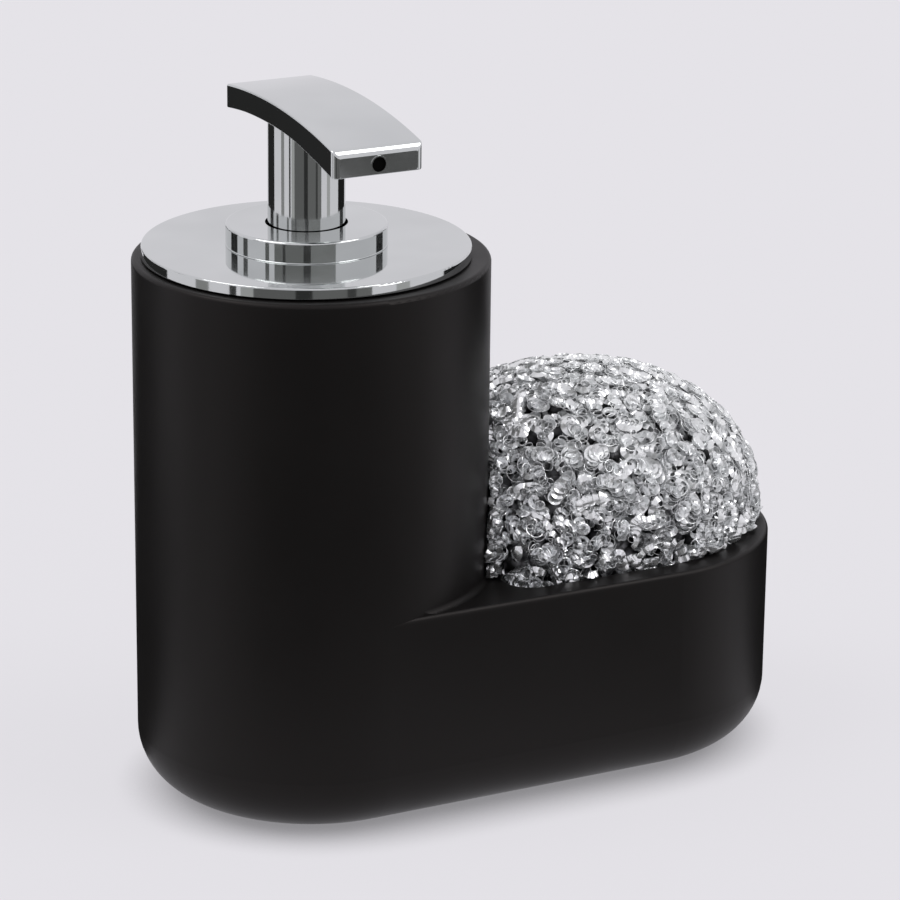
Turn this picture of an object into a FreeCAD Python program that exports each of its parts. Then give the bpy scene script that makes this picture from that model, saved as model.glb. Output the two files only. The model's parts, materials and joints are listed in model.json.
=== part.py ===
"""Soap pump caddy: a cast tower with a pump, and a tray that holds a steel scourer.

Millimetres, +Z up. The origin is under the middle of the footprint, the tray lies towards +X
and the nozzle points to -Y.
"""
import FreeCAD
import Part

import math
import os

# Casting
tower_radius = 40.0
tower_height = 125.1
axis_spacing = 74.8
tray_height = 51.1
base_round = 14.3
rim_round = 1.0
cove_round = 1.2
tower_wall = 6.7
tower_floor = 8.0
reservoir_round = 6.0
tray_wall = 6.6
tray_ledge = 4.0
tray_floor = 7.0
tray_floor_round = 5.0
tray_corner_margin = 1.0
pump_offset = 1.2
mouth_ledge = 1.7
mouth_depth = 2.0

# Base pad
pad_thickness = 1.2
pad_recess = 0.4
pad_margin = 2.5

# Clearances and cuts
fit = 0.05
loose_fit = 0.1
thread_clearance = 0.3
neck_clearance = 0.2
soft_clearance = 0.4
overrun = 1.0

# Neck insert in the mouth
insert_wall = 2.0
dish_gap = 6.3
neck_wall = 2.0
neck_recess = 0.6

# Cover plate, its seal and the collar
rim_show = 3.3
plate_thickness = 2.4
plate_round = 0.4
seal_thickness = 0.5
seal_width = 5.0
collar_height = 4.8
collar_skin = 1.2
collar_round = 0.5
stem_clearance = 0.55

# Screw closure
closure_wall = 1.6
closure_web = 1.5
closure_shoulder = 1.2
closure_lip = 1.5
skirt_length = 13.0
skirt_gap = 1.4
boss_step = 0.9

# Pump housing and what it holds
gasket_thickness = 0.8
gasket_width = 1.6
flange_thickness = 1.2
flange_margin = 0.4
cup_wall = 1.6
cup_clearance = 1.55
cup_base = 2.0
cup_room = 2.0
barrel_bore = 5.5
barrel_wall = 1.5
seat_radius = 3.2
seat_depth = 2.4
inlet_radius = 1.4
inlet_length = 2.0
ball_radius = 2.2
ball_gap = 0.02
socket_depth = 10.0
socket_wall = 1.5
tube_radius = 2.5
tube_wall = 0.8
tube_gap = 4.0
guide_flange = 1.2
guide_rise = 6.0
guide_drop = 5.0
guide_wall = 1.8
stop_gap = 0.2
pump_stroke = 14.0

# Plunger and spring
rod_radius = 4.0
rod_bore = 2.0
spigot_radius = 3.0
piston_height = 6.0
piston_lip = 1.4
piston_groove = 0.7
spring_radius = 4.1
spring_wire = 0.9
spring_closed = 13.0
spring_coils = 9
spring_gap = 0.05

# Head
stem_radius = 8.65
stem_wall = 1.25
stem_exposed = 24.0
sleeve_lap = 2.2
head_half_width = 10.4
head_thickness = 5.2
head_front = 34.8
head_rear = 19.6
arch_radius = 160.0
head_wall = 1.2
head_skin = 1.0
base_plate = 1.0
nose_round = 1.0
head_round = 0.4
elbow_radius = 5.6
elbow_gap = 2.0
elbow_socket = 12.0
outlet_wall = 0.4
outlet_lap = 2.5
nozzle_radius = 1.65
nozzle_wall = 0.3

# Scourer: a ball over the rim that leans on the tower, pressed into the tray on a narrower foot
ball_shift = 9.2
ball_length = 48.3
ball_depth = 36.5
ball_flat = 34.0
ball_height = 36.0
ball_lift = 2.9
foot_radius = 31.0
foot_height = 22.6

# Angles and tolerances
full_turn = 360.0
quarters = 4
tolerance = 0.01

# Places that follow from the sizes
tower_x = -axis_spacing / 2
tray_x = axis_spacing / 2
pump_x = tower_x - pump_offset
body_bottom = pad_thickness - pad_recess
tower_top = body_bottom + tower_height
tray_top = body_bottom + tray_height
pad_radius = tower_radius - base_round - pad_margin
tray_inner = tower_radius - tray_wall
tray_corner_round = tray_floor_round + tray_corner_margin
tray_bottom = body_bottom + tray_floor
reservoir_radius = tower_radius - tower_wall
reservoir_bottom = body_bottom + tower_floor
mouth_radius = reservoir_radius + mouth_ledge
mouth_bottom = tower_top - mouth_depth
cup_bore = stem_radius + cup_clearance
cup_radius = cup_bore + cup_wall
neck_bore = cup_radius + neck_clearance
neck_radius = neck_bore + neck_wall
neck_top = tower_top - neck_recess
flange_bottom = neck_top + gasket_thickness
flange_top = flange_bottom + flange_thickness
flange_radius = neck_radius - flange_margin
skirt_bore = neck_radius + thread_clearance
skirt_radius = skirt_bore + closure_wall
skirt_bottom = flange_top - skirt_length
dish_floor = skirt_bottom - skirt_gap
dish_radius = reservoir_radius - dish_gap - insert_wall
plate_radius = tower_radius - rim_show
plate_bottom = tower_top + seal_thickness
plate_top = plate_bottom + plate_thickness
collar_top = plate_top + collar_height
collar_hole = stem_radius + stem_clearance
boss_radius = skirt_radius + boss_step
collar_radius = boss_radius + collar_skin
boss_top = collar_top - collar_skin
closure_hole = collar_hole + neck_clearance
sleeve_bottom = collar_top - sleeve_lap
cup_floor = sleeve_bottom - pump_stroke - cup_room - guide_flange
guide_bore = rod_radius + loose_fit
guide_top = cup_floor + guide_flange + guide_rise
barrel_radius = barrel_bore + barrel_wall
piston_top = cup_floor - guide_drop - stop_gap
piston_bottom = piston_top - piston_height
barrel_floor = piston_bottom - pump_stroke - spring_closed
seat_bottom = barrel_floor - seat_depth
socket_top = seat_bottom - inlet_length
socket_bottom = socket_top - socket_depth
socket_bore = tube_radius + fit
socket_radius = socket_bore + socket_wall
elbow_bottom = guide_top + pump_stroke + elbow_gap
rod_top = elbow_bottom + elbow_socket
arch_z = collar_top + stem_exposed + head_thickness - arch_radius
under_radius = arch_radius - head_thickness
roof_radius = arch_radius - head_skin
plate_roof = under_radius + base_plate
channel_radius = (roof_radius + plate_roof) / 2
outlet_radius = (roof_radius - plate_roof) / 2 - loose_fit
front_angle = math.degrees(math.asin(head_front / arch_radius))
rear_angle = math.degrees(math.asin(head_rear / arch_radius))
wall_angle = math.degrees(head_wall / channel_radius)
lap_angle = math.degrees((elbow_radius - outlet_lap) / channel_radius)


def at(x, y, z):
    return FreeCAD.Vector(x, y, z)


def cylinder(radius, bottom, top, x):
    return Part.makeCylinder(radius, top - bottom, at(x, 0, bottom))


def tube(bore, radius, bottom, top, x):
    return cylinder(radius, bottom, top, x).cut(cylinder(bore, bottom - overrun, top + overrun, x))


def turned(profile):
    """Solid of revolution about the pump's axis, from a closed outline of (radius, height)."""
    points = [at(pump_x + radius, 0, height) for radius, height in profile]
    face = Part.Face(Part.makePolygon(points + points[:1]))
    return face.revolve(at(pump_x, 0, 0), at(0, 0, 1), full_turn)


def prism(curves, height):
    wire = Part.Wire([curve.toShape() for curve in curves])
    return Part.Face(wire).extrude(at(0, 0, height))


def stadium(radius, bottom, top):
    """Prism with two straight sides and round ends about the tower's and the tray's axes."""
    front_left = at(tower_x, -radius, bottom)
    front_right = at(tray_x, -radius, bottom)
    back_right = at(tray_x, radius, bottom)
    back_left = at(tower_x, radius, bottom)
    curves = [
        Part.LineSegment(front_left, front_right),
        Part.Arc(front_right, at(tray_x + radius, 0, bottom), back_right),
        Part.LineSegment(back_right, back_left),
        Part.Arc(back_left, at(tower_x - radius, 0, bottom), front_left),
    ]
    return prism(curves, top - bottom)


def tray_inside(inset, bottom, top):
    """Prism of the tray's hollow: a round end, straight sides and a side that follows the tower."""
    half = tray_inner - inset
    rounding = tray_corner_round - inset
    ledge = tower_radius + tray_ledge + inset
    centre_y = half - rounding
    centre_x = math.sqrt((ledge + rounding) ** 2 - centre_y ** 2)
    inward_x = centre_x / (ledge + rounding)
    inward_y = centre_y / (ledge + rounding)
    bulge = math.hypot(inward_x, 1 - inward_y)

    def mirrored(x, y):
        return at(tower_x + x, y, bottom), at(tower_x + x, -y, bottom)

    side_back, side_front = mirrored(centre_x, half)
    round_back, round_front = mirrored(
        centre_x - rounding * inward_x / bulge, centre_y + rounding * (1 - inward_y) / bulge)
    touch_back, touch_front = mirrored(ledge * inward_x, ledge * inward_y)
    end_front = at(tray_x, -half, bottom)
    end_back = at(tray_x, half, bottom)
    curves = [
        Part.LineSegment(side_front, end_front),
        Part.Arc(end_front, at(tray_x + half, 0, bottom), end_back),
        Part.LineSegment(end_back, side_back),
        Part.Arc(side_back, round_back, touch_back),
        Part.Arc(touch_back, at(tower_x + ledge, 0, bottom), touch_front),
        Part.Arc(touch_front, round_front, side_front),
    ]
    return prism(curves, top - bottom)


def edges_at(shape, height):
    """The edges that lie flat at one height."""
    def is_flat(box):
        return abs(box.ZMin - height) < tolerance and abs(box.ZMax - height) < tolerance

    return [edge for edge in shape.Edges if is_flat(edge.BoundBox)]


def middle_of(edge):
    return edge.valueAt((edge.FirstParameter + edge.LastParameter) / 2)


def cove():
    """Hollow rounding where the tower rises from the tray's rim, kept to the flat of the rim."""
    wall = tower_x + tower_radius
    hollow = cove_round * (1 - math.sqrt(0.5))
    top = at(wall, 0, tray_top + cove_round)
    toe = at(wall + cove_round, 0, tray_top)
    inner = wall - overrun
    under = tray_top - overrun
    path = [toe, at(toe.x, 0, under), at(inner, 0, under), at(inner, 0, top.z), top]
    arc = Part.Arc(top, at(wall + hollow, 0, tray_top + hollow), toe).toShape()
    face = Part.Face(Part.Wire([arc] + Part.makePolygon(path).Edges))
    ring = face.revolve(at(tower_x, 0, 0), at(0, 0, 1), full_turn)
    return ring.common(stadium(tower_radius - rim_round, under, top.z + overrun))


def caddy_body():
    block = stadium(tower_radius, body_bottom, tray_top)
    block = block.makeFillet(base_round, edges_at(block, body_bottom))
    block = block.makeFillet(rim_round, edges_at(block, tray_top))
    tower = cylinder(tower_radius, body_bottom + base_round, tower_top, tower_x)
    tower = tower.makeFillet(rim_round, edges_at(tower, tower_top))
    body = block.fuse(tower).fuse(cove()).removeSplitter()
    hollow = tray_inside(0, tray_bottom, tray_top + overrun)
    hollow = hollow.makeFillet(tray_floor_round, edges_at(hollow, tray_bottom))
    body = body.cut(hollow)
    lip = [e for e in edges_at(body, tray_top) if hollow.isInside(middle_of(e), tolerance, True)]
    body = body.makeFillet(rim_round, lip)
    reservoir = cylinder(reservoir_radius, reservoir_bottom, tower_top + overrun, pump_x)
    reservoir = reservoir.makeFillet(reservoir_round, edges_at(reservoir, reservoir_bottom))
    mouth = cylinder(mouth_radius, mouth_bottom, tower_top + overrun, pump_x)
    recess = stadium(pad_radius, body_bottom - overrun, body_bottom + pad_recess)
    return body.cut(reservoir).cut(mouth).cut(recess)


def base_pad():
    return stadium(pad_radius - loose_fit, 0, pad_thickness)


def neck_insert():
    flange = mouth_radius - loose_fit
    dish_outer = dish_radius + insert_wall
    dish_bottom = dish_floor - insert_wall
    return turned([
        (neck_bore, dish_bottom), (dish_outer, dish_bottom), (dish_outer, mouth_bottom),
        (flange, mouth_bottom), (flange, tower_top), (dish_radius, tower_top),
        (dish_radius, dish_floor), (neck_radius, dish_floor), (neck_radius, neck_top),
        (neck_bore, neck_top)])


def neck_gasket():
    return tube(flange_radius - gasket_width, flange_radius, neck_top, flange_bottom, pump_x)


def pump_housing():
    return turned([
        (cup_bore, flange_top), (flange_radius, flange_top), (flange_radius, flange_bottom),
        (cup_radius, flange_bottom), (cup_radius, cup_floor - cup_base),
        (barrel_radius, cup_floor - cup_base), (barrel_radius, barrel_floor),
        (socket_radius, socket_top), (socket_radius, socket_bottom),
        (socket_bore, socket_bottom), (socket_bore, socket_top), (inlet_radius, socket_top),
        (inlet_radius, seat_bottom), (seat_radius, barrel_floor), (barrel_bore, barrel_floor),
        (barrel_bore, cup_floor), (cup_bore, cup_floor)])


def guide_cap():
    plug = barrel_bore - fit
    top = cup_floor + guide_flange
    return turned([
        (guide_bore, cup_floor - guide_drop), (plug, cup_floor - guide_drop), (plug, cup_floor),
        (cup_bore - fit, cup_floor), (cup_bore - fit, top), (guide_bore + guide_wall, top),
        (guide_bore + guide_wall, guide_top), (guide_bore, guide_top)])


def dip_tube():
    """Tube with a slanted foot, so that it can't seal itself on the floor."""
    foot = reservoir_bottom + tube_gap
    pipe = tube(tube_radius - tube_wall, tube_radius, foot, socket_top, pump_x)
    reach = tube_radius + overrun
    corners = [
        at(pump_x - reach, -reach, foot - reach + tube_radius),
        at(pump_x + reach, -reach, foot - reach + tube_radius),
        at(pump_x + reach, -reach, foot + reach + tube_radius)]
    wedge = Part.Face(Part.makePolygon(corners + corners[:1])).extrude(at(0, 2 * reach, 0))
    return pipe.cut(wedge)


def biarc(start, leaving, end, arriving):
    """Two arcs that join two points with the given unit tangents."""
    chord = end - start
    bend = 1 - leaving.dot(arriving)
    along = chord.dot(leaving + arriving)
    reach = (math.sqrt(along ** 2 + 2 * bend * chord.dot(chord)) - along) / (2 * bend)
    joint = (start + end + (leaving - arriving) * reach) * 0.5
    return [arc_from(start, leaving, joint), arc_from(end, arriving * -1, joint)]


def arc_from(start, leaving, end):
    chord = end - start
    span = chord.Length
    along = chord * (1 / span)
    across = leaving - along * leaving.dot(along)
    half_angle = math.acos(leaving.dot(along)) / 2
    rise = across.normalize() * (span / 2 * math.tan(half_angle))
    return Part.Arc(start, (start + end) * 0.5 + rise, end).toShape()


def return_spring():
    """Compression spring: one wire on biarcs of a quarter turn each."""
    low = barrel_floor + spring_wire / 2 + spring_gap
    high = piston_bottom - spring_wire / 2 - spring_gap
    steps = spring_coils * quarters
    rise = (high - low) / steps
    slope = rise / (spring_radius * math.pi / 2)

    def place(step):
        angle = 2 * math.pi * step / quarters
        radial = at(math.cos(angle), math.sin(angle), 0)
        tangent = at(-math.sin(angle), math.cos(angle), slope).normalize()
        return at(pump_x, 0, low + rise * step) + radial * spring_radius, tangent

    edges = []
    for step in range(steps):
        edges += biarc(*place(step), *place(step + 1))
    start, tangent = place(0)
    section = Part.Wire(Part.Circle(start, tangent, spring_wire / 2).toShape())
    gap = rise * quarters * math.cos(math.atan(slope)) - spring_wire
    print("spring's least gap to itself", round(gap, 2))
    return Part.Wire(edges).makePipeShell([section], True, False)


def inlet_ball():
    """Ball on its conical seat."""
    slant = math.atan2(seat_radius - inlet_radius, seat_depth)
    apex = seat_bottom - inlet_radius / math.tan(slant)
    centre = apex + (ball_radius + ball_gap) / math.sin(slant)
    return Part.makeSphere(ball_radius, at(pump_x, 0, centre))


def screw_closure():
    shoulder = boss_radius + closure_shoulder
    inner = closure_hole + closure_wall
    outer = boss_radius - fit - closure_wall
    web_top = flange_top + closure_web
    return turned([
        (closure_hole, flange_top), (skirt_bore, flange_top), (skirt_bore, skirt_bottom),
        (skirt_radius, skirt_bottom), (skirt_radius, plate_bottom - closure_lip),
        (shoulder, plate_bottom - closure_lip), (shoulder, plate_bottom),
        (boss_radius - fit, plate_bottom), (boss_radius - fit, boss_top), (outer, boss_top),
        (outer, web_top), (inner, web_top), (inner, boss_top), (closure_hole, boss_top)])


def cover_plate():
    disc = cylinder(plate_radius, plate_bottom, plate_top, pump_x)
    disc = disc.makeFillet(plate_round, edges_at(disc, plate_top))
    return disc.cut(cylinder(boss_radius, plate_bottom - overrun, plate_top + overrun, pump_x))


def plate_seal():
    edge = mouth_radius - soft_clearance
    return tube(edge - seal_width, edge, tower_top, plate_bottom, pump_x)


def collar():
    ring = cylinder(collar_radius, plate_top, collar_top, pump_x)
    ring = ring.makeFillet(collar_round, edges_at(ring, collar_top))
    ring = ring.cut(cylinder(boss_radius, plate_top - overrun, boss_top, pump_x))
    return ring.cut(cylinder(collar_hole, plate_top, collar_top + overrun, pump_x))


def piston_rod():
    return turned([
        (rod_bore, piston_bottom), (spigot_radius, piston_bottom), (spigot_radius, piston_top),
        (rod_radius, piston_top), (rod_radius, rod_top), (rod_bore, rod_top)])


def piston():
    seal = barrel_bore - fit
    waist = seal - piston_groove
    bore = spigot_radius + fit
    upper = piston_top - piston_lip
    lower = piston_bottom + piston_lip
    return turned([
        (bore, piston_bottom), (seal, piston_bottom), (seal, lower), (waist, lower),
        (waist, upper), (seal, upper), (seal, piston_top), (bore, piston_top)])


def swept(section, start_angle, end_angle):
    """Turn a section at the top of the head's arch about the arch's axis, forwards from start to end."""
    section.rotate(at(pump_x, 0, arch_z), at(1, 0, 0), start_angle)
    return section.revolve(at(pump_x, 0, arch_z), at(1, 0, 0), end_angle - start_angle)


def arched_bar(low, high, half_width, rear, front):
    corners = [
        at(pump_x - half_width, 0, arch_z + low), at(pump_x + half_width, 0, arch_z + low),
        at(pump_x + half_width, 0, arch_z + high), at(pump_x - half_width, 0, arch_z + high)]
    return swept(Part.Face(Part.makePolygon(corners + corners[:1])), -rear, front)


def arched_rod(radius, start_angle, end_angle):
    ring = Part.Circle(at(pump_x, 0, arch_z + channel_radius), at(0, 1, 0), radius).toShape()
    return swept(Part.Face(Part.Wire(ring)), start_angle, end_angle)


def arch_cylinder(radius):
    """Solid cylinder about the arch's axis, wide enough for the head."""
    reach = head_half_width + overrun
    return Part.makeCylinder(radius, 2 * reach, at(pump_x - reach, 0, arch_z), at(1, 0, 0))


def radius_in_arch(point):
    return math.hypot(point.y, point.z - arch_z)


def spout_shell():
    bar = arched_bar(under_radius, arch_radius, head_half_width, rear_angle, front_angle)
    nose_y = -under_radius * math.sin(math.radians(front_angle))
    nose = [e for e in bar.Edges if middle_of(e).y < nose_y + tolerance
            and radius_in_arch(middle_of(e)) > under_radius + tolerance]
    bar = bar.makeFillet(nose_round, nose)
    top = [e for e in bar.Edges if radius_in_arch(middle_of(e)) > arch_radius - tolerance
           and e.BoundBox.YLength > head_rear]
    bar = bar.makeFillet(head_round, top)
    pocket = arched_bar(under_radius - overrun, roof_radius, head_half_width - head_wall,
                        rear_angle - wall_angle, front_angle - wall_angle)
    outlet = arched_rod(nozzle_radius + fit, front_angle - 2 * wall_angle, front_angle + wall_angle)
    return bar.cut(pocket).cut(outlet)


def spout_base():
    plate = arched_bar(under_radius, plate_roof, head_half_width - head_wall - fit,
                       rear_angle - wall_angle, front_angle - wall_angle)
    hole = cylinder(elbow_radius + fit, elbow_bottom, arch_z + arch_radius, pump_x)
    return plate.cut(hole)


def stem_sleeve():
    pipe = tube(stem_radius - stem_wall, stem_radius, sleeve_bottom, arch_z + arch_radius, pump_x)
    return pipe.common(arch_cylinder(under_radius))


def outlet_elbow():
    hub = cylinder(elbow_radius, elbow_bottom, arch_z + arch_radius, pump_x)
    hub = hub.common(arch_cylinder(roof_radius))
    hub = hub.cut(cylinder(rod_radius + fit, elbow_bottom - overrun, rod_top, pump_x))
    hub = hub.cut(cylinder(rod_bore, rod_top - overrun, arch_z + channel_radius, pump_x))
    hub = hub.cut(arched_rod(outlet_radius - outlet_wall, 0, front_angle))
    return hub.cut(arched_rod(outlet_radius + fit, lap_angle, front_angle))


def outlet_tube():
    span = (lap_angle, front_angle - wall_angle)
    return arched_rod(outlet_radius, *span).cut(arched_rod(outlet_radius - outlet_wall, *span))


def nozzle_tip():
    span = (front_angle - wall_angle, front_angle)
    return arched_rod(nozzle_radius, *span).cut(arched_rod(nozzle_radius - nozzle_wall, *span))


def ellipsoid(length, depth, height, centre_x, centre_z):
    stretch = FreeCAD.Matrix()
    stretch.scale(length, depth, height)
    stretch.move(at(centre_x, 0, centre_z))
    return Part.makeSphere(1).transformGeometry(stretch)


def scourer():
    """Ball that bulges over the rim and leans on the tower, pressed into the tray below the rim."""
    rest = tray_bottom + soft_clearance
    brim = tray_top + soft_clearance
    crown = tray_top + ball_lift + ball_height + overrun
    ball = ellipsoid(ball_length, ball_depth, ball_height, tray_x - ball_shift, tray_top + ball_lift)
    foot = ellipsoid(foot_radius, foot_radius, foot_height, tray_x, rest + foot_height)
    corner = at(tower_x, -ball_flat, brim)
    above = Part.makeBox(tray_x + tower_radius - tower_x, 2 * ball_flat, crown - brim, corner)
    below = tray_inside(soft_clearance, rest - overrun, brim)
    column = cylinder(tower_radius + soft_clearance, brim - overrun, tower_top, tower_x)
    bulge = ball.common(above).cut(column)
    return bulge.fuse(ball.fuse(foot).common(below)).removeSplitter()


pieces = [
    caddy_body, base_pad, neck_insert, neck_gasket, pump_housing, guide_cap, dip_tube,
    return_spring, inlet_ball, screw_closure, cover_plate, plate_seal, collar, piston_rod, piston,
    spout_shell, spout_base, stem_sleeve, outlet_elbow, outlet_tube, nozzle_tip, scourer]

os.makedirs("parts", exist_ok=True)
for piece in pieces:
    shape = piece()
    print(piece.__name__, shape.isValid(), len(shape.Solids), round(shape.Volume, 1))
    shape.exportStep("parts/" + piece.__name__ + ".step")
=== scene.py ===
"""Looks of the soap pump caddy: black resin, a chrome pump and a curled steel scourer."""

import json
import math
import random

import bpy
from mathutils import Matrix, Vector, noise
from mathutils.bvhtree import BVHTree
from mathutils.kdtree import KDTree

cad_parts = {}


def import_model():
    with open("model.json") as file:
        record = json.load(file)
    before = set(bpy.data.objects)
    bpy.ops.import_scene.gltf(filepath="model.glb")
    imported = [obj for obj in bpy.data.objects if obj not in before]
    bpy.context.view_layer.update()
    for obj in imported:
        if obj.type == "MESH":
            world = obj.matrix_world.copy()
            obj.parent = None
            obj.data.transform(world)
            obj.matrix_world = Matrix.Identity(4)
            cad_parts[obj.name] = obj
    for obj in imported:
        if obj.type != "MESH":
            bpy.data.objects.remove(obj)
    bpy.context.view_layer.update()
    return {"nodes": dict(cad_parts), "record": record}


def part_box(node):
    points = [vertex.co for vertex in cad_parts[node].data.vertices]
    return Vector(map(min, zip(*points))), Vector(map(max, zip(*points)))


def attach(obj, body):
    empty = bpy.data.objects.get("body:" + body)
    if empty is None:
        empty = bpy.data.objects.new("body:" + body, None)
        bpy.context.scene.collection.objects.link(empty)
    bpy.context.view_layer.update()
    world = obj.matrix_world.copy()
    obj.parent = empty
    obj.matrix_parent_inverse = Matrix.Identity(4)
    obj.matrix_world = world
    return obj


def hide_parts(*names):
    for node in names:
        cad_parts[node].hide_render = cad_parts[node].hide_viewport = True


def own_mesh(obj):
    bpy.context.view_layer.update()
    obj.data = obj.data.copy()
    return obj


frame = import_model()
nodes = frame["nodes"]

# Units
mm = 0.001
full_turn = 2 * math.pi
quarter_turn = math.pi / 2

# Camera, fitted to the outlines in the photograph
camera_place = Vector((-0.4073, -0.7802, 0.3708))
camera_yaw = math.radians(-27.44)
camera_pitch = math.radians(18.6)
camera_roll = math.radians(-0.64)
camera_lens = 161.41
camera_sensor = 36.0
camera_clip = 0.01

# Studio: pale surroundings, lamps by azimuth and elevation in degrees, a close painted shadow on the floor
pale = (0.783, 0.768, 0.807, 1.0)
white = (1.0, 1.0, 1.0, 1.0)
ambient_strength = 0.6
floor_reach = 4.0
sun_spread = math.radians(35)
sun_share = 0.2
suns = {"key": (-70, 52), "fill": (75, 48)}
# The floor's shadow is painted: ambient occlusion darkens its glow near the object
shadow_reach = 0.018
shadow_samples = 16
shadow_span = (0.1, 0.72)
shadow_floor = 0.38
shadow_weight = 0.86

# Dark cards round the pump, for its reflections: start and end in degrees, and shade
flag_radius = 0.40
flag_start = 0.12
near_start = 0.043
flag_height = 0.11
flag_rise = 0.001
flag_step = math.radians(3)
flags = {
    "flag_left": (-150, -106, 0.024),
    "flag_left_strip": (-77, -66, 0.28),
    "flag_left_line": (-50, -45, 0.05),
    "flag_left_haze": (-42, -33, 0.42),
    "flag_front": (-33, -5, 0.13),
    "flag_front_line": (-5, 6, 0.035),
    "flag_front_right": (6, 29, 0.15),
    "flag_right_line": (29, 35, 0.06),
    "flag_right_edge": (35, 46, 0.17),
    "flag_right_strip": (64, 75, 0.45),
    "flag_right": (108, 150, 0.015),
}

# Cards that lie on the floor, for the tower's lower part
low_flag = (46, 80, 0.07)
low_flag_radius = 0.32
left_low_flag = (-106, -91, 0.03)
left_low_radius = 0.24

# Card for the upright face of the nose, between two heights
nose_flag = (41, 63, 0.095)
nose_flag_band = (0.052, 0.078)

# Cards above the others, which the collar shows by way of the cover plate
high_flag_band = (0.221, 0.248)
high_flags = {
    "high_left": (-130, -111, 0.02),
    "high_left_block": (-97, -88, 0.08),
    "high_left_line": (-57, -51, 0.15),
    "high_front_haze": (-43, -31, 0.2),
    "high_front_line": (-31, -27, 0.06),
    "high_front": (-27, -2, 0.2),
    "high_middle_line": (-2, 8, 0.045),
    "high_front_right": (8, 43, 0.26),
    "high_right": (117, 138, 0.02),
}

# Places in the frame
body_low, body_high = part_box("caddy_body")
tower_radius = (body_high.y - body_low.y) / 2
tower_axis = Vector((body_low.x + tower_radius, 0, 0))
tray_axis = Vector((body_high.x - tower_radius, 0, 0))
collar_low, collar_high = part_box("collar")
pump_axis = Vector(((collar_low.x + collar_high.x) / 2, 0, 0))
tray_top = 51.9 * mm
ball_low, ball_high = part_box("scourer")

# Finishes: roughness of the noise, darkest share of a moulded colour, and depths of grain
noise_rough = 0.6
cloud_share = 0.9
grain_depth = 0.03 * mm
fine_depth = 0.02 * mm
pore_depth = 0.1 * mm
core_relief = 0.6 * mm

# Head of the pump: an arched bar with upright ends, deeper at the nose than over the stem
shell_low, shell_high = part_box("spout_shell")
arch_radius = 160 * mm
arch_height = shell_high.z - arch_radius
head_rear = shell_high.y
head_front = -36.0 * mm
head_half = (shell_high.x - shell_low.x) / 2
nose_half = 10.7 * mm
stem_zone = 9 * mm
stem_depth = 5.28 * mm
nose_depth = 6.2 * mm
rear_depth = 5.45 * mm
nose_round = 1.5 * mm
rear_round = 0.5 * mm
head_edge = 0.4 * mm
under_share = 0.35
edge_guard = 0.03 * mm
head_crease = math.radians(35)
head_steps = 48
round_steps = 8
edge_steps = 4

# Outlet in the nose: points across the head that line up with the bore, and the bore's sizes
stop_spread = 2.1 * mm
stop_angles = range(15, 170, 10)
outlet_radius = 1.6 * mm
outlet_lip = 1.95 * mm
lip_proud = 0.1 * mm
outlet_depth = 2.2 * mm
# How far behind the nose's face the painted shade in the bore begins
outlet_shade = 0.5 * mm

# Bead under the collar
seam_radius = 0.12 * mm
seam_steps = 144
seam_sides = 8

# Scourer: sizes of a curl
curl_seed = 7
curl_radius = 1.3 * mm
radius_range = (0.85, 1.15)
curl_ribbon = 1.35 * mm
curl_sheet = 0.08 * mm
curl_segments = 14
curl_edge = math.radians(50)
curl_waver = 0.09

# Scourer: how far curls stand out of the ball, less so near the tray
curl_proud = 1.5 * mm
curl_settle = 26 * mm
least_proud = 0.25
wall_gap = 0.3 * mm

# Scourer: tilt and cone angle of the curls, and what crumpling adds or takes
loose_tilt = (0.02, 0.3)
crushed_tilt = (0.2, 1.2)
cone_low, cone_high = 0.5, 1.2
cone_low_loss, cone_high_loss = 0.25, 0.3

# Scourer: where it is crumpled
crush_beside = 0.55
crush_under = 0.6
crush_start = 0.35
crush_patch = 0.6
patch_scale = 70

# Scourer: layers of curls
crown_drop = 5 * mm
crown_spacing = 2.35 * mm
crown_turns = 2.0
foot_spacing = 3.4 * mm
foot_turns = 1.6
inner_spacing = 2.7 * mm
inner_turns = 1.6
inner_depth = 1.6 * mm
inner_crush = 0.7
strand_reach = 6 * mm
scatter_tries = 8

# Scourer: core, dark with painted shade
core_depth = 4.2 * mm
core_shift = 3 * mm
core_crumple = 0.9 * mm
crumple_scale = 260
core_rings = 40
core_spokes = 72


def shader_of(made):
    return made.node_tree.nodes["Principled BSDF"]


def material(name, colour, roughness, **sockets):
    """A principled material with uniform values set on its shader."""
    made = bpy.data.materials.new(name)
    made.use_nodes = True
    shader = shader_of(made)
    shader.inputs["Base Color"].default_value = (*colour, 1.0)
    shader.inputs["Roughness"].default_value = roughness
    for socket, value in sockets.items():
        shader.inputs[socket.replace("_", " ")].default_value = value
    return made


def add_node(made, kind, **values):
    node = made.node_tree.nodes.new(kind)
    for name, value in values.items():
        node.inputs[name].default_value = value
    return node


def link(made, start, end):
    made.node_tree.links.new(start, end)


def feed(made, socket, value):
    """Lead a texture value into a socket of the material's shader."""
    link(made, value, shader_of(made).inputs[socket])


def combine(tree, operation, first, second):
    """Result of a calculation with two sockets."""
    node = tree.nodes.new("ShaderNodeMath")
    node.operation = operation
    tree.links.new(first, node.inputs[0])
    tree.links.new(second, node.inputs[1])
    return node.outputs[0]


def place_of(made):
    return add_node(made, "ShaderNodeTexCoord").outputs["Object"]


def noise_of(made, scale, detail):
    texture = add_node(made, "ShaderNodeTexNoise", Scale=scale, Detail=detail, Roughness=noise_rough)
    link(made, place_of(made), texture.inputs["Vector"])
    return texture.outputs["Fac"]


def cells_of(made, scale):
    texture = add_node(made, "ShaderNodeTexVoronoi", Scale=scale)
    link(made, place_of(made), texture.inputs["Vector"])
    return texture.outputs["Distance"]


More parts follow.
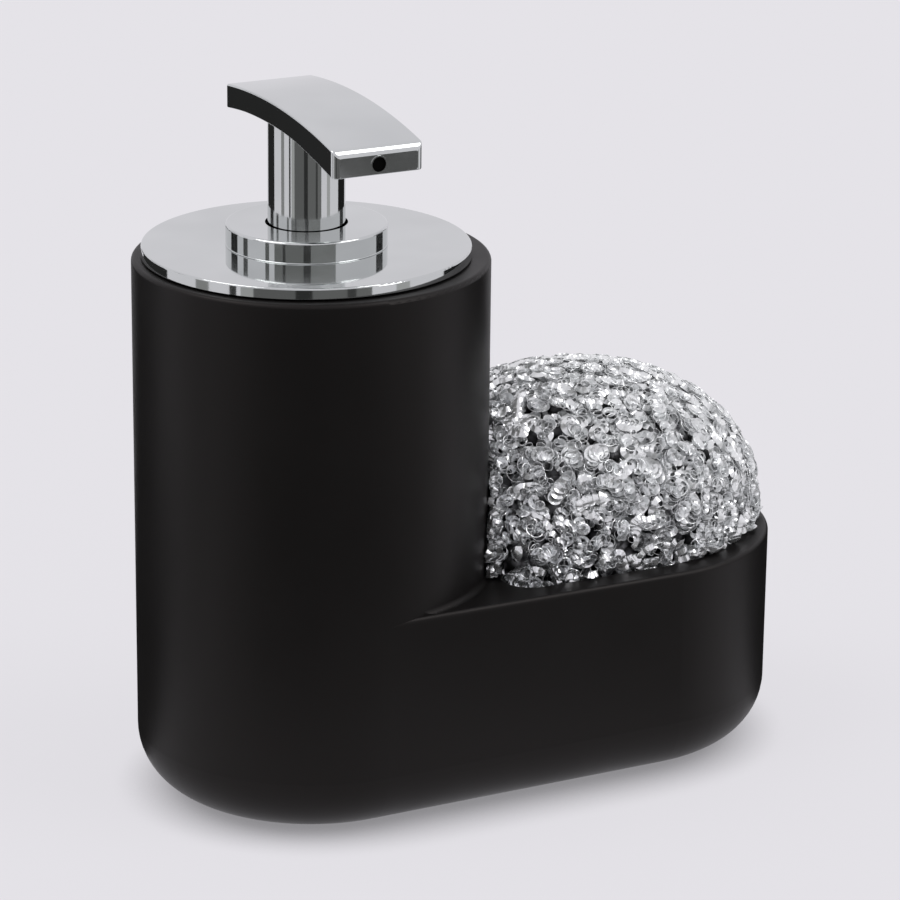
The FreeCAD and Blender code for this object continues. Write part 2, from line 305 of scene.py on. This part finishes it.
def spread(made, value, low, high, start=0.3, end=0.7):
    """Map a texture value to a range."""
    span = add_node(made, "ShaderNodeMapRange")
    span.inputs["From Min"].default_value = start
    span.inputs["From Max"].default_value = end
    span.inputs["To Min"].default_value = low
    span.inputs["To Max"].default_value = high
    link(made, value, span.inputs["Value"])
    return span.outputs["Result"]


def two_tone(made, value, first, second, start=0.3, end=0.7):
    """Colour that runs from first to second with a texture value."""
    ramp = add_node(made, "ShaderNodeValToRGB")
    ramp.color_ramp.elements[0].position = start
    ramp.color_ramp.elements[0].color = (*first, 1.0)
    ramp.color_ramp.elements[1].position = end
    ramp.color_ramp.elements[1].color = (*second, 1.0)
    link(made, value, ramp.inputs["Fac"])
    return ramp.outputs["Color"]


def bump(made, value, distance, strength):
    relief = add_node(made, "ShaderNodeBump", Distance=distance, Strength=strength)
    link(made, value, relief.inputs["Height"])
    feed(made, "Normal", relief.outputs["Normal"])


def resin():
    """Cast black resin: a soft sheen, fine grain and a few pale specks."""
    black = (0.0058, 0.0053, 0.0052)
    pale_speck = (0.12, 0.115, 0.11)
    warm = (1.0, 0.93, 0.9, 1.0)
    made = material("black_resin", black, 0.42, Specular_IOR_Level=0.2, Specular_Tint=warm)
    dots = spread(made, cells_of(made, scale=260.0), low=1.0, high=0.0, start=0.02, end=0.05)
    chosen = spread(made, noise_of(made, scale=130.0, detail=0.0), low=0.0, high=1.0, start=0.74, end=0.76)
    specks = combine(made.node_tree, "MULTIPLY", dots, chosen)
    feed(made, "Base Color", two_tone(made, specks, black, pale_speck, start=0.0, end=1.0))
    feed(made, "Roughness", spread(made, noise_of(made, scale=40.0, detail=6.0), low=0.38, high=0.47))
    bump(made, noise_of(made, scale=2600.0, detail=3.0), fine_depth, strength=0.25)
    return made


def chrome():
    """Polished plating with faint smears and polishing marks."""
    made = material("chrome", (0.74, 0.75, 0.75), 0.05, Metallic=1.0)
    clouds = noise_of(made, scale=35.0, detail=2.0)
    feed(made, "Roughness", spread(made, noise_of(made, scale=60.0, detail=4.0), low=0.03, high=0.085))
    feed(made, "Base Color", two_tone(made, clouds, (0.62, 0.64, 0.635), (0.69, 0.71, 0.705)))
    bump(made, noise_of(made, scale=90.0, detail=2.0), fine_depth, strength=0.06)
    return made


def ribbon_steel():
    """Bright ribbon, clouded in patches, and less of a mirror towards the top and the tray's end, which
    makes it read lighter there: painted light.
    """
    made = material("scourer_ribbon", (0.90, 0.91, 0.92), 0.16, Metallic=0.8)
    # Painted light: less metallic with height and towards the tray's end, so the ribbon reads lighter there
    parts = add_node(made, "ShaderNodeSeparateXYZ")
    link(made, place_of(made), parts.inputs[0])
    along = spread(made, parts.outputs["X"], low=0.0, high=1.0, start=0.0, end=ball_high.x)
    above = spread(made, parts.outputs["Z"], low=0.0, high=1.0, start=tray_top, end=ball_high.z)
    far = combine(made.node_tree, "ADD", along, above)
    clouds = noise_of(made, scale=260.0, detail=2.0)
    feed(made, "Metallic", spread(made, far, low=0.92, high=0.5, start=0.3, end=1.4))
    feed(made, "Roughness", spread(made, noise_of(made, scale=420.0, detail=3.0), low=0.10, high=0.30))
    feed(made, "Base Color", two_tone(made, clouds, (0.80, 0.81, 0.82), (0.96, 0.97, 0.975)))
    return made


def core_steel_painted_shade():
    """Ribbon deep inside the ball, dark with painted shade, in lighter and darker cells."""
    made = material("scourer_core_painted_shade", (0.10, 0.10, 0.105), 0.4, Metallic=1.0)
    # Painted shade: the curls' steel made dark, with lighter and darker cells
    cells = cells_of(made, scale=420.0)
    tint = two_tone(made, cells, (0.32, 0.32, 0.33), (0.02, 0.02, 0.02), start=0.1, end=0.7)
    feed(made, "Base Color", tint)
    bump(made, cells, core_relief, strength=0.8)
    return made


def plain(name, colour, roughness, grain, **sockets):
    """Moulded material with a fine grain and slight clouding."""
    made = material(name, colour, roughness, **sockets)
    clouded = tuple(cloud_share * part for part in colour)
    feed(made, "Base Color", two_tone(made, noise_of(made, scale=70.0, detail=3.0), clouded, colour))
    bump(made, noise_of(made, scale=grain, detail=3.0), grain_depth, strength=0.3)
    return made


def foam():
    """Closed-cell foam with small pores, painted darker in their pits as shade."""
    made = material("pad_foam", (0.03, 0.03, 0.031), 0.85)
    cells = cells_of(made, scale=1400.0)
    # Painted shade: each pore darkest at the bottom of its pit
    tint = two_tone(made, cells, (0.012, 0.012, 0.012), (0.04, 0.04, 0.041), start=0.0, end=0.5)
    feed(made, "Base Color", tint)
    bump(made, cells, pore_depth, strength=0.6)
    return made


def steel_wire():
    """Drawn wire, a little uneven in its shine."""
    made = material("spring_steel", (0.56, 0.57, 0.58), 0.25, Metallic=1.0)
    feed(made, "Roughness", spread(made, noise_of(made, scale=500.0, detail=2.0), low=0.18, high=0.34))
    return made


def outlet_painted_shade():
    """Painted shade for the inside of the channel: black and matte, with no sheen."""
    return plain("outlet_painted_shade", (0.004, 0.004, 0.004), 0.9, grain=900.0, Specular_IOR_Level=0.0)


def paint():
    """Give every node of the frame its finish, by the record's material slots."""
    finishes = {
        "black_resin": resin(),
        "black_plastic": plain("black_plastic", (0.012, 0.012, 0.013), 0.38, grain=1800.0),
        "seal_rubber": plain("seal_rubber", (0.02, 0.02, 0.021), 0.7, grain=1200.0),
        "natural_plastic": plain("natural_plastic", (0.80, 0.81, 0.79), 0.34, grain=900.0,
                                 Subsurface_Weight=0.15),
        "clear_tube": plain("clear_tube", (0.86, 0.88, 0.88), 0.12, grain=600.0,
                            Transmission_Weight=0.85, IOR=1.5),
        "spring_steel": steel_wire(),
        "chrome": chrome(),
        "pad_foam": foam(),
        "scourer_ribbon": ribbon_steel(),
    }
    for part in frame["record"]["subparts"]:
        for slot in nodes[part["node"]].material_slots:
            slot.material = finishes[part["material_slot"]]
    return finishes


def new_object(name, vertices, faces, finish):
    mesh = bpy.data.meshes.new(name)
    mesh.from_pydata(vertices, [], faces)
    mesh.update()
    mesh.materials.append(finish)
    made = bpy.data.objects.new(name, mesh)
    bpy.context.scene.collection.objects.link(made)
    return made


def sweep(sections):
    """Vertices and faces of a closed skin through sections of equal length, capped at both ends."""
    sides = len(sections[0])
    vertices = [corner for section in sections for corner in section]
    faces = []
    for row in range(len(sections) - 1):
        base = row * sides
        for side in range(sides):
            after = (side + 1) % sides
            faces.append((base + side, base + after, base + sides + after, base + sides + side))
    last = (len(sections) - 1) * sides
    faces.append(tuple(reversed(range(sides))))
    faces.append(tuple(last + side for side in range(sides)))
    return vertices, faces


def smooth(piece):
    piece.data.polygons.foreach_set("use_smooth", [True] * len(piece.data.polygons))


def raised(height):
    return Vector((0, 0, height))


def spoke_at(angle):
    """Level unit direction at an angle from +X."""
    return Vector((math.cos(angle), math.sin(angle), 0))


def shape_of(guide):
    """Search tree over a node's faces."""
    corners = [vertex.co for vertex in guide.data.vertices]
    return BVHTree.FromPolygons(corners, [face.vertices for face in guide.data.polygons])


def scatter(guide, spacing, keep, draw):
    """Points on the guide's faces, no two nearer than spacing, with their normals."""
    mesh = guide.data
    mesh.calc_loop_triangles()
    triangles = [tri for tri in mesh.loop_triangles if keep(tri.center)]
    weights = [tri.area for tri in triangles]
    tries = int(scatter_tries * sum(weights) / spacing ** 2)
    grid = {}
    found = []
    for tri in draw.choices(triangles, weights, k=tries):
        first, second, third = (mesh.vertices[i].co for i in tri.vertices)
        a, b = draw.random(), draw.random()
        if a + b > 1:
            a, b = 1 - a, 1 - b
        point = first + (second - first) * a + (third - first) * b
        cell = tuple(math.floor(part / spacing) for part in point)
        near = [grid.get((cell[0] + i, cell[1] + j, cell[2] + k), ())
                for i in (-1, 0, 1) for j in (-1, 0, 1) for k in (-1, 0, 1)]
        if any((point - other).length < spacing for group in near for other in group):
            continue
        grid.setdefault(cell, []).append(point)
        found.append((point, tri.normal.copy()))
    return found


def strands(points):
    """Order scattered points into runs from neighbour to neighbour."""
    tree = KDTree(len(points))
    for index, (point, normal) in enumerate(points):
        tree.insert(point, index)
    tree.balance()
    free = set(range(len(points)))
    runs = []
    while free:
        index = min(free)
        run = []
        while index is not None:
            free.discard(index)
            run.append(points[index])
            near = [i for place, i, gap in tree.find_range(points[index][0], strand_reach) if i in free]
            index = min(near, key=lambda i: (points[i][0] - points[index][0]).length, default=None)
        if len(run) > 1:
            runs.append(run)
    return runs


def lean(normal, tilt, draw):
    """A normal tilted by an angle in a random direction."""
    across = normal.orthogonal().normalized()
    across.rotate(Matrix.Rotation(draw.uniform(0, full_turn), 3, normal))
    tilted = normal.copy()
    tilted.rotate(Matrix.Rotation(tilt, 3, across))
    return tilted


def crushed(point):
    """How far the ribbon is crumpled at a place: most beside the tower and low down, in patches."""
    beside = (ball_high.x - point.x) / (ball_high.x - ball_low.x)
    under = (ball_high.z - point.z) / (ball_high.z - tray_top)
    patch = crush_patch * noise.noise(point * patch_scale)
    return min(1.0, max(0.0, crush_beside * beside + crush_under * under - crush_start + patch))


def curl_stations(run, draw):
    """Centre, axis, radius and cone angle of the curl at each point of a run."""
    stations = []
    for point, normal in run:
        crush = crushed(point)
        tilt = draw.uniform(*loose_tilt) + crush * draw.uniform(*crushed_tilt)
        cone = draw.uniform(cone_low - cone_low_loss * crush, cone_high - cone_high_loss * crush)
        cone *= draw.choice((-1, 1))
        radius = curl_radius * draw.uniform(*radius_range)
        rim = radius + curl_ribbon * math.sin(abs(cone)) / 2
        proud = curl_proud * min(1.0, least_proud + max(0.0, point.z - tray_top) / curl_settle)
        depth = rim * math.sin(tilt) + curl_ribbon * math.cos(cone) * math.cos(tilt) / 2 - proud
        stations.append((point - normal * depth, lean(normal, tilt, draw), radius, cone))
    return stations


def curl_sections(run, turns, draw):
    """Sections of one ribbon that curls round each point of a run and passes on to the next."""
    stations = curl_stations(run, draw)
    steps = round(turns * curl_segments)
    across = stations[0][1].orthogonal().normalized()
    angle = draw.uniform(0, full_turn)
    sections = []
    for start, end in zip(stations, stations[1:]):
        waver = draw.uniform(0, full_turn)
        for step in range(steps):
            share = step / steps
            centre = start[0].lerp(end[0], share)
            axis = start[1].lerp(end[1], share).normalized()
            radius = start[2] + (end[2] - start[2]) * share
            cone = start[3] + (end[3] - start[3]) * share
            across = (across - axis * across.dot(axis)).normalized()
            angle += full_turn / curl_segments
            spoke = across * math.cos(angle) + axis.cross(across) * math.sin(angle)
            place = centre + spoke * radius * (1 + curl_waver * math.sin(2 * angle + waver))
            width = (axis * math.cos(cone) + spoke * math.sin(cone)) * curl_ribbon / 2
            depth = (spoke * math.cos(cone) - axis * math.sin(cone)) * curl_sheet / 2
            sections.append([place - width - depth, place + width - depth,
                             place + width + depth, place - width + depth])
    return sections


def kept_inside(sections, shape):
    """Push ribbon that would enter the tower or the tray back into the scourer's own space."""
    def allowed(point):
        flat = Vector((point.x, point.y, 0)) - tower_axis
        return point.z > tray_top + wall_gap and flat.length > tower_radius + wall_gap

    for section in sections:
        middle = (section[0] + section[2]) / 2
        place, normal, face, gap = shape.find_nearest(middle)
        worst = max((corner - place).dot(normal) for corner in section)
        if worst > 0 and not all(allowed(corner) for corner in section):
            push = normal * -worst
            section[:] = [corner + push for corner in section]
    return sections


def curl_layers(guide, draw):
    """Points for the curls of the crown, the foot and the layer below the crown, with turns per curl."""
    def above(place):
        return place.z > tray_top - crown_drop

    def below(place):
        return not above(place)

    crown = scatter(guide, crown_spacing, above, draw)
    foot = scatter(guide, foot_spacing, below, draw)
    second = scatter(guide, inner_spacing, above, draw)
    inner = [(point - normal * inner_depth, normal) for point, normal in second
             if crushed(point) < inner_crush]
    return (crown, crown_turns), (foot, foot_turns), (inner, inner_turns)


def scourer_curls(finish):
    """The ball of curled ribbon, in two layers over a dark core of painted shade."""
    guide = nodes["scourer"]
    shape = shape_of(guide)
    draw = random.Random(curl_seed)
    vertices = []
    faces = []
    for points, turns in curl_layers(guide, draw):
        for run in strands(points):
            more, skin = sweep(kept_inside(curl_sections(run, turns, draw), shape))
            offset = len(vertices)
            vertices.extend(more)
            faces.extend(tuple(offset + corner for corner in face) for face in skin)
    piece = new_object("scourer_curls", vertices, faces, finish)
    smooth(piece)
    piece.data.set_sharp_from_angle(angle=curl_edge)
    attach(piece, "scourer")
    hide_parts("scourer")


def scourer_core_painted_shade():
    """Crumpled inner mass that closes the view between the curls, dark with painted shade."""
    shape = shape_of(nodes["scourer"])
    middle = Vector((tray_axis.x - core_shift, 0, (ball_low.z + ball_high.z) / 2))
    sections = []
    for ring in range(core_rings + 1):
        polar = math.pi * (ring + 0.5) / (core_rings + 1)
        flat = math.sin(polar)
        section = []
        for spoke in range(core_spokes):
            turn = full_turn * spoke / core_spokes
            way = Vector((flat * math.cos(turn), flat * math.sin(turn), -math.cos(polar)))
            hit = shape.ray_cast(middle, way)[0]
            crumple = noise.noise(hit * crumple_scale) * core_crumple
            section.append(middle + way * ((hit - middle).length - core_depth + crumple))
        sections.append(section)
    piece = new_object("scourer_core_painted_shade", *sweep(sections), core_steel_painted_shade())
    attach(piece, "scourer")


def coil_spring(finish):
    """Return spring as a round wire on a helix."""
    low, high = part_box("return_spring")
    wire = 0.45 * mm
    coils = 9
    steps = 32
    sides = 10
    radius = (high.x - low.x) / 2 - wire
    rise = high.z - low.z - 2 * wire
    ring = [full_turn * side / sides for side in range(sides)]
    sections = []
    for step in range(coils * steps + 1):
        spoke = spoke_at(full_turn * step / steps)
        centre = pump_axis + spoke * radius + raised(low.z + wire + rise * step / (coils * steps))
        sections.append([centre + (spoke * math.cos(a) + raised(math.sin(a))) * wire for a in ring])
    piece = new_object("spring_coil", *sweep(sections), finish)
    smooth(piece)
    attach(piece, "pump")
    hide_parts("return_spring")
    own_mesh(piece)


def foam_pad(finish):
    """Foam pad under the base, with softened edges."""
    low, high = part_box("base_pad")
    radius = (high.y - low.y) / 2
    half = (high.x - low.x) / 2 - radius
    soft = 0.35 * mm
    round_share = 0.29
    soft_middle = soft * round_share
    steps = 80
    profile = [(soft, 0.0), (soft_middle, soft_middle), (0.0, soft)]
    levels = [(inset, low.z + rise) for inset, rise in profile]
    levels += [(inset, high.z - rise) for inset, rise in reversed(profile)]
    sections = []
    for inset, height in levels:
        outline = []
        for step in range(steps):
            angle = full_turn * (step + 0.5) / steps - quarter_turn
            side = half if math.cos(angle) > 0 else -half
            reach = radius - inset
            outline.append(Vector((side + reach * math.cos(angle), reach * math.sin(angle), height)))
        sections.append(outline)
    piece = new_object("foam_pad", *sweep(sections), finish)
    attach(piece, "caddy")
    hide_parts("base_pad")


def neck_thread(finish):
    """Helical ridge on the filler neck, which grows out of it and runs back into it."""
    neck_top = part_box("neck_insert")[1].z
    radius = 14.0 * mm
    sunk = 0.05 * mm
    ridge = 0.26 * mm
    least_ridge = 0.05
    run_in = 6
    half = 0.55 * mm
    pitch = 3.2 * mm
    turns = 2.4
    turn_steps = 72
    start_drop = 10.2 * mm
    start = neck_top - start_drop
    steps = round(turns * turn_steps)
    sections = []
    for step in range(steps + 1):
        grow = min(1.0, run_in * step / steps, run_in * (steps - step) / steps)
        spoke = spoke_at(full_turn * turns * step / steps)
        height = start + pitch * turns * step / steps
        inner = pump_axis + spoke * (radius - sunk)
        outer = pump_axis + spoke * (radius + ridge * max(grow, least_ridge))
        sections.append([inner + raised(height - half), outer + raised(height - half / 2),
                         outer + raised(height + half / 2), inner + raised(height + half)])
    piece = new_object("neck_thread", *sweep(sections), finish)
    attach(piece, "caddy")


def head_depth(y):
    """Upright thickness of the head at a place along it."""
    if y < 0:
        share = max(0.0, (-stem_zone - y) / (-stem_zone - head_front))
        far = nose_depth
    else:
        share = max(0.0, (y - stem_zone) / (head_rear - stem_zone))
        far = rear_depth
    return stem_depth + (far - stem_depth) * share * share * (3 - 2 * share)


def head_corner(x, z, turn):
    """Points round one corner of the head's outline, with a point close by on either side."""
    centre = Vector((x, z))
    spoke = Vector((math.cos(turn), math.sin(turn)))
    along = Vector((math.sin(turn), -math.cos(turn)))
    points = [centre + spoke * head_edge + along * edge_guard]
    for step in range(edge_steps + 1):
        angle = turn + quarter_turn * step / edge_steps
        points.append(centre + Vector((math.cos(angle), math.sin(angle))) * head_edge)
    points.append(points[-1] - spoke * edge_guard)
    return points


def head_loop(y, inset):
    """Rounded outline of the head at a place along it, drawn in on all sides towards its ends."""
    share = (head_rear - y) / (head_rear - head_front)
    half = head_half + (nose_half - head_half) * share - inset
    roof = arch_height + math.sqrt(arch_radius ** 2 - y ** 2)
    low = roof - head_depth(y) + under_share * inset
    high = roof - inset
    side = half - head_edge
    upper = high - head_edge
    lower = low + head_edge
    stops = [stop_spread / math.tan(math.radians(angle)) for angle in stop_angles]
    flat = head_corner(side, upper, 0.0)
    flat += [Vector((stop, high)) for stop in stops]
    flat += head_corner(-side, upper, quarter_turn)
    flat += head_corner(-side, lower, 2 * quarter_turn)
    flat += [Vector((stop, low)) for stop in reversed(stops)]
    flat += head_corner(side, lower, 3 * quarter_turn)
    return [Vector((pump_axis.x + x, y, z)) for x, z in flat]


def head_end(tip, inward, radius):
    """Loops from the head's body over a rounded end to the flat face at its tip."""
    loops = []
    for step in range(round_steps + 1):
        angle = quarter_turn * step / round_steps
        place = tip + inward * radius * (1 - math.sin(angle))
        loops.append(head_loop(place, radius * (1 - math.cos(angle))))
    loops.append(head_loop(tip, radius + edge_guard))
    return loops


def outlet_loops(face):
    """Loops from the nose's flat face over the outlet's lip and into its bore."""
    middle = sum(face, Vector()) / len(face)
    middle.x = pump_axis.x
    middle.z = (max(point.z for point in face) + min(point.z for point in face)) / 2
    turns = [math.atan2(point.z - middle.z, point.x - middle.x) for point in face]
    steps = [(outlet_lip + edge_guard, 0.0), (outlet_lip, 0.0), (outlet_lip - edge_guard, -lip_proud),
             (outlet_radius + edge_guard, -lip_proud), (outlet_radius, 0.0), (outlet_radius, outlet_depth)]
    loops = []
    for radius, depth in steps:
        spokes = [Vector((math.cos(turn) * radius, depth, math.sin(turn) * radius)) for turn in turns]
        loops.append([middle + spoke for spoke in spokes])
    return loops


def outlet_shade_plug(bore_end, dark):
    """Plug of painted shade in the channel, which fills the bore to just behind the nose's face."""
    back = [point - Vector((0, edge_guard, 0)) for point in bore_end]
    front = [Vector((point.x, head_front + outlet_shade, point.z)) for point in bore_end]
    shade = new_object("outlet_shade_plug", *sweep([back, front]), dark)
    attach(shade, "spout")
    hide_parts("nozzle_tip")


def pump_head(finish, dark):
    """Arched head of the pump with its outlet, and a plug of painted shade in the channel behind it."""
    start = head_rear - rear_round - edge_guard
    end = head_front + nose_round + edge_guard
    sections = head_end(head_rear, -1, rear_round)[::-1]
    sections += [head_loop(start + (end - start) * step / head_steps, 0.0) for step in range(head_steps + 1)]
    sections += head_end(head_front, 1, nose_round)
    outlet = outlet_loops(sections[-1])
    piece = new_object("pump_head", *sweep(sections + outlet), finish)
    smooth(piece)
    piece.data.set_sharp_from_angle(angle=head_crease)
    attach(piece, "spout")
    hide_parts("spout_shell", "spout_base")
    outlet_shade_plug(outlet[-1], dark)


def collar_seam(finish):
    """Fine bead where the collar meets the cover plate."""
    radius = (collar_high.x - collar_low.x) / 2
    vertices = []
    faces = []
    for step in range(seam_steps):
        spoke = spoke_at(full_turn * step / seam_steps)
        centre = pump_axis + spoke * radius + raised(collar_low.z + seam_radius)
        base = step * seam_sides
        far = (step + 1) % seam_steps * seam_sides
        for side in range(seam_sides):
            turn = full_turn * side / seam_sides
            vertices.append(centre + (spoke * math.cos(turn) + raised(math.sin(turn))) * seam_radius)
            after = (side + 1) % seam_sides
            faces.append((base + side, far + side, far + after, base + after))
    piece = new_object("collar_seam", vertices, faces, finish)
    smooth(piece)
    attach(piece, "closure")


def toward(azimuth, elevation=0.0):
    """Direction from the pump's axis, by degrees from the camera's side towards its right."""
    turn = math.radians(azimuth)
    rise = math.radians(elevation)
    back = Vector((math.sin(camera_yaw), -math.cos(camera_yaw), 0))
    right = Vector((math.cos(camera_yaw), math.sin(camera_yaw), 0))
    flat = back * math.cos(turn) + right * math.sin(turn)
    return flat * math.cos(rise) + raised(math.sin(rise))


def camera():
    """Camera at the photograph's viewing angle."""
    lens = bpy.data.cameras.new("camera")
    lens.lens = camera_lens
    lens.sensor_width = camera_sensor
    lens.clip_start = camera_clip
    side = Vector((math.cos(camera_yaw), math.sin(camera_yaw), 0))
    ahead = Vector((-math.sin(camera_yaw), math.cos(camera_yaw), 0))
    up = Vector((0, 0, 1))
    look = ahead * math.cos(camera_pitch) - up * math.sin(camera_pitch)
    down = -(up * math.cos(camera_pitch) + ahead * math.sin(camera_pitch))
    right = side * math.cos(camera_roll) + down * math.sin(camera_roll)
    below = down * math.cos(camera_roll) - side * math.sin(camera_roll)
    made = bpy.data.objects.new("camera", lens)
    turn = Matrix((right, -below, -look)).transposed().to_4x4()
    made.matrix_world = Matrix.Translation(camera_place) @ turn
    bpy.context.scene.collection.objects.link(made)
    bpy.context.scene.camera = made


def shown_ray(tree):
    """One for rays that the eye, a reflection or a clear piece sends, else zero."""
    path = tree.nodes.new("ShaderNodeLightPath")
    seen = combine(tree, "MAXIMUM", path.outputs["Is Camera Ray"], path.outputs["Is Glossy Ray"])
    return combine(tree, "MAXIMUM", seen, path.outputs["Is Transmission Ray"])


def world():
    """Pale surroundings for the eye and for reflections, and a plain level of soft light."""
    made = bpy.data.worlds.new("studio")
    made.use_nodes = True
    tree = made.node_tree
    shown = tree.nodes["Background"]
    shown.inputs["Color"].default_value = pale
    lit = tree.nodes.new("ShaderNodeBackground")
    lit.inputs["Color"].default_value = white
    lit.inputs["Strength"].default_value = ambient_strength
    choice = tree.nodes.new("ShaderNodeMixShader")
    tree.links.new(shown_ray(tree), choice.inputs["Fac"])
    tree.links.new(lit.outputs[0], choice.inputs[1])
    tree.links.new(shown.outputs[0], choice.inputs[2])
    tree.links.new(choice.outputs[0], tree.nodes["World Output"].inputs["Surface"])
    bpy.context.scene.world = made


def floor_finish():
    """Pale paper sweep: evenly lit, and for the eye mostly an even glow with a close soft painted shadow
    under the object.
    """
    made = material("floor", pale[:3], 0.9, Specular_IOR_Level=0.0)
    tree = made.node_tree
    # Painted shadow: the glow is darkened where ambient occlusion finds other things close, and reflections
    # see it unshadowed
    close = add_node(made, "ShaderNodeAmbientOcclusion", Distance=shadow_reach)
    close.samples = shadow_samples
    shadow = spread(made, close.outputs["AO"], shadow_floor, 1.0, *shadow_span)
    reflected = add_node(made, "ShaderNodeLightPath").outputs["Is Glossy Ray"]
    glow = add_node(made, "ShaderNodeEmission", Color=pale)
    link(made, combine(tree, "MAXIMUM", shadow, reflected), glow.inputs["Strength"])
    weight = add_node(made, "ShaderNodeMath")
    weight.operation = "MULTIPLY"
    weight.inputs[1].default_value = shadow_weight
    link(made, shown_ray(tree), weight.inputs[0])
    choice = add_node(made, "ShaderNodeMixShader")
    link(made, weight.outputs[0], choice.inputs["Fac"])
    link(made, shader_of(made).outputs[0], choice.inputs[1])
    link(made, glow.outputs[0], choice.inputs[2])
    link(made, choice.outputs[0], tree.nodes["Material Output"].inputs["Surface"])
    return made


def floor():
    """Wide level floor at the object's foot."""
    corners = [(-floor_reach, -floor_reach, 0), (floor_reach, -floor_reach, 0),
               (floor_reach, floor_reach, 0), (-floor_reach, floor_reach, 0)]
    made = new_object("floor", corners, [(0, 1, 2, 3)], floor_finish())


def lamps():
    """Broad suns that light the floor equally, whatever their elevation."""
    for name, (azimuth, elevation) in suns.items():
        lamp = bpy.data.lights.new(name, "SUN")
        lamp.angle = sun_spread
        lamp.energy = sun_share * math.pi / math.sin(math.radians(elevation))
        made = bpy.data.objects.new(name, lamp)
        made.rotation_euler = toward(azimuth, elevation).to_track_quat("Z", "Y").to_euler()
        bpy.context.scene.collection.objects.link(made)


def flag_finish(name, shade):
    """Even grey that no light changes."""
    made = bpy.data.materials.new(name)
    made.use_nodes = True
    tree = made.node_tree
    tree.nodes.clear()
    glow = tree.nodes.new("ShaderNodeEmission")
    glow.inputs["Color"].default_value = (shade, shade, shade, 1.0)
    output = tree.nodes.new("ShaderNodeOutputMaterial")
    tree.links.new(glow.outputs[0], output.inputs["Surface"])
    return made


def flag(name, start, end, shade, profile):
    """Dark card round the set, seen only in reflections, swept through its profile."""
    steps = max(1, round(math.radians(end - start) / flag_step))
    count = len(profile)
    vertices = []
    faces = []
    for step in range(steps + 1):
        way = toward(start + (end - start) * step / steps)
        vertices += [pump_axis + way * reach + raised(rise) for reach, rise in profile]
    for step in range(steps):
        for row in range(count - 1):
            base = count * step + row
            faces.append((base, base + 1, base + count + 1, base + count))
    made = new_object(name, vertices, faces, flag_finish(name, shade))
    made.visible_camera = False
    made.visible_diffuse = False
    made.visible_transmission = False
    made.visible_shadow = False


def all_flags():
    """Cards on the floor that turn up at their far end, cards that only lie, and cards that only stand."""
    for name, (start, end, shade) in flags.items():
        inner = near_start if name == "flag_left" else flag_start
        profile = [(inner, flag_rise), (flag_radius, flag_rise), (flag_radius, flag_height)]
        flag(name, start, end, shade, profile)
    flag("flag_low", *low_flag, [(flag_start, flag_rise), (low_flag_radius, flag_rise)])
    flag("flag_low_left", *left_low_flag, [(near_start, flag_rise), (left_low_radius, flag_rise)])
    flag("flag_nose", *nose_flag, [(flag_radius, height) for height in nose_flag_band])
    for name, (start, end, shade) in high_flags.items():
        flag(name, start, end, shade, [(flag_radius, height) for height in high_flag_band])


camera()
world()
floor()
lamps()
all_flags()
finishes = paint()
scourer_curls(finishes["scourer_ribbon"])
scourer_core_painted_shade()
coil_spring(finishes["spring_steel"])
foam_pad(finishes["pad_foam"])
neck_thread(finishes["black_plastic"])
pump_head(finishes["chrome"], outlet_painted_shade())
collar_seam(finishes["chrome"])
bpy.context.scene.view_settings.view_transform = "Standard"
